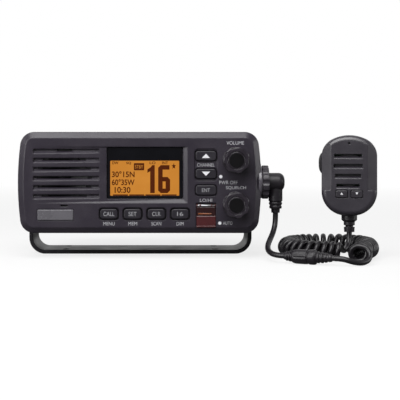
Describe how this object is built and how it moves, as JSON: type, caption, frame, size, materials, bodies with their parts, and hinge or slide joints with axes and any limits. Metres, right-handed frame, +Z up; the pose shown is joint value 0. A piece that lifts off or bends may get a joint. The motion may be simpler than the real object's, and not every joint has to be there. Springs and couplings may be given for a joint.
{
  "type": "marine radio",
  "caption": "Fixed-mount marine two-way radio in a tilting U bracket, with an amber display, push keys, turning knobs and a fist microphone on a curly cord",
  "frame": {"origin": "middle of the four base holes of the bracket, on the face that lies on the table", "axes": "+Z up, the panel faces -Y, +X to the right as seen from the front, along the tilt axis"},
  "size_m": [0.2757, 0.1813, 0.0943],
  "materials": {
    "panel_plastic": "fine moulded texture",
    "blank_plate": "satin",
    "key_plastic": "satin",
    "knob_rubber": "soft touch",
    "clamp_plastic": "moulded",
    "bracket_paint": "satin powder coat",
    "chassis_paint": "satin powder coat over a casting",
    "steel": "machined",
    "brass": "turned",
    "antenna_plating": "plated",
    "seal_rubber": "plain",
    "circuit_board": "solder mask",
    "power_plastic": "moulded",
    "window": "polished",
    "display": "backlit",
    "light_guide": "clear moulding",
    "flap_plastic": "smoky translucent",
    "speaker_steel": "stamped",
    "speaker_cone": "film",
    "socket_plastic": "moulded",
    "ring_metal": "dark plated",
    "plug_rubber": "moulded",
    "cord_rubber": "satin",
    "mic_plastic": "fine moulded texture",
    "mic_rubber": "soft touch"
  },
  "bodies": {
    "bracket": {"mounting_bracket": "bracket_paint", "tilt_washers": "seal_rubber", "inline_connector": "plug_rubber", "lead_cord": "cord_rubber", "feed_cord": "cord_rubber", "curly_cord": "cord_rubber", "tail_cord": "cord_rubber"},
    "radio": {"chassis": "chassis_paint", "top_cover": "chassis_paint", "radio_screws": "steel", "threaded_inserts": "brass", "main_board": "circuit_board", "shield_can": "steel", "power_module": "power_plastic", "antenna_socket": "antenna_plating", "dc_inlet": "power_plastic", "front_panel": "panel_plastic", "front_gasket": "seal_rubber", "blank_plate": "blank_plate", "display_window": "window", "display_glass": "display", "backlight": "light_guide", "front_board": "circuit_board", "keypad_mat": "seal_rubber", "encoders": "steel", "flap_pin": "steel", "data_socket": "steel", "speaker_frame": "speaker_steel", "speaker_cone": "speaker_cone", "speaker_magnet": "speaker_steel", "mic_socket": "socket_plastic", "mic_plug": "plug_rubber"},
    "left_clamp": {"left_clamp_knob": "clamp_plastic", "left_clamp_stud": "steel"},
    "right_clamp": {"right_clamp_knob": "clamp_plastic", "right_clamp_stud": "steel"},
    "volume": {"volume_knob": "knob_rubber", "volume_shaft": "steel"},
    "squelch": {"squelch_knob": "knob_rubber", "squelch_shaft": "steel"},
    "function_1": {"function_key_1": "key_plastic"},
    "function_2": {"function_key_2": "key_plastic"},
    "function_3": {"function_key_3": "key_plastic"},
    "function_4": {"function_key_4": "key_plastic"},
    "up": {"up_key": "key_plastic"},
    "down": {"down_key": "key_plastic"},
    "enter": {"enter_key": "key_plastic"},
    "flap": {"port_flap": "flap_plastic"},
    "plug_ring": {"coupling_ring": "ring_metal"},
    "hand_mic": {"mic_front_shell": "mic_plastic", "mic_rear_shell": "mic_plastic", "mic_speaker": "speaker_steel", "mic_capsule": "speaker_steel", "mic_board": "circuit_board", "hanger_button": "mic_plastic", "mic_screws": "steel", "mic_strain_relief": "plug_rubber"},
    "ptt": {"ptt_button": "mic_rubber"},
    "mic_up": {"mic_up_key": "mic_rubber"},
    "mic_down": {"mic_down_key": "mic_rubber"}
  },
  "joints": [
    {"name": "tilt", "type": "hinge", "parent": "bracket", "child": "radio", "pos_m": [0, 0, 0.0568], "axis": [1, 0, 0], "range_deg": [-20, 15], "deforming": ["lead_cord"]},
    {"name": "left_clamp_turn", "type": "hinge", "parent": "radio", "child": "left_clamp", "pos_m": [-0.09, 0, 0.0568], "axis": [-1, 0, 0], "range_deg": [0, 360]},
    {"name": "right_clamp_turn", "type": "hinge", "parent": "radio", "child": "right_clamp", "pos_m": [0.09, 0, 0.0568], "axis": [1, 0, 0], "range_deg": [0, 360]},
    {"name": "volume_turn", "type": "hinge", "parent": "radio", "child": "volume", "pos_m": [0.071, -0.069, 0.0734], "axis": [0, 1, 0], "range_deg": [0, 300]},
    {"name": "squelch_turn", "type": "hinge", "parent": "radio", "child": "squelch", "pos_m": [0.071, -0.069, 0.0406], "axis": [0, 1, 0], "range_deg": [0, 300]},
    {"name": "function_1_press", "type": "slide", "parent": "radio", "child": "function_1", "axis": [0, 1, 0], "range_m": [0, 0.001], "stiffness_N_per_m": 600},
    {"name": "function_2_press", "type": "slide", "parent": "radio", "child": "function_2", "axis": [0, 1, 0], "range_m": [0, 0.001], "stiffness_N_per_m": 600},
    {"name": "function_3_press", "type": "slide", "parent": "radio", "child": "function_3", "axis": [0, 1, 0], "range_m": [0, 0.001], "stiffness_N_per_m": 600},
    {"name": "function_4_press", "type": "slide", "parent": "radio", "child": "function_4", "axis": [0, 1, 0], "range_m": [0, 0.001], "stiffness_N_per_m": 600},
    {"name": "up_press", "type": "slide", "parent": "radio", "child": "up", "axis": [0, 1, 0], "range_m": [0, 0.001], "stiffness_N_per_m": 600},
    {"name": "down_press", "type": "slide", "parent": "radio", "child": "down", "axis": [0, 1, 0], "range_m": [0, 0.001], "stiffness_N_per_m": 600},
    {"name": "enter_press", "type": "slide", "parent": "radio", "child": "enter", "axis": [0, 1, 0], "range_m": [0, 0.001], "stiffness_N_per_m": 600},
    {"name": "flap_swing", "type": "hinge", "parent": "radio", "child": "flap", "pos_m": [0.0492, -0.0622, 0.0399], "axis": [-1, 0, 0], "range_deg": [0, 100]},
    {"name": "ring_turn", "type": "hinge", "parent": "radio", "child": "plug_ring", "pos_m": [0.0938, -0.0506, 0.0568], "axis": [1, 0, 0], "range_deg": [0, 270]},
    {"name": "mic_lift", "type": "slide", "parent": "bracket", "child": "hand_mic", "axis": [0, 0, 1], "range_m": [0, 0.06], "deforming": ["tail_cord"]},
    {"name": "ptt_press", "type": "slide", "parent": "hand_mic", "child": "ptt", "axis": [0.9848, -0.1736, 0], "range_m": [0, 0.0015], "stiffness_N_per_m": 900},
    {"name": "mic_up_press", "type": "slide", "parent": "hand_mic", "child": "mic_up", "axis": [0.1736, 0.9848, 0], "range_m": [0, 0.0008], "stiffness_N_per_m": 600},
    {"name": "mic_down_press", "type": "slide", "parent": "hand_mic", "child": "mic_down", "axis": [0.1736, 0.9848, 0], "range_m": [0, 0.0008], "stiffness_N_per_m": 600}
  ]
}
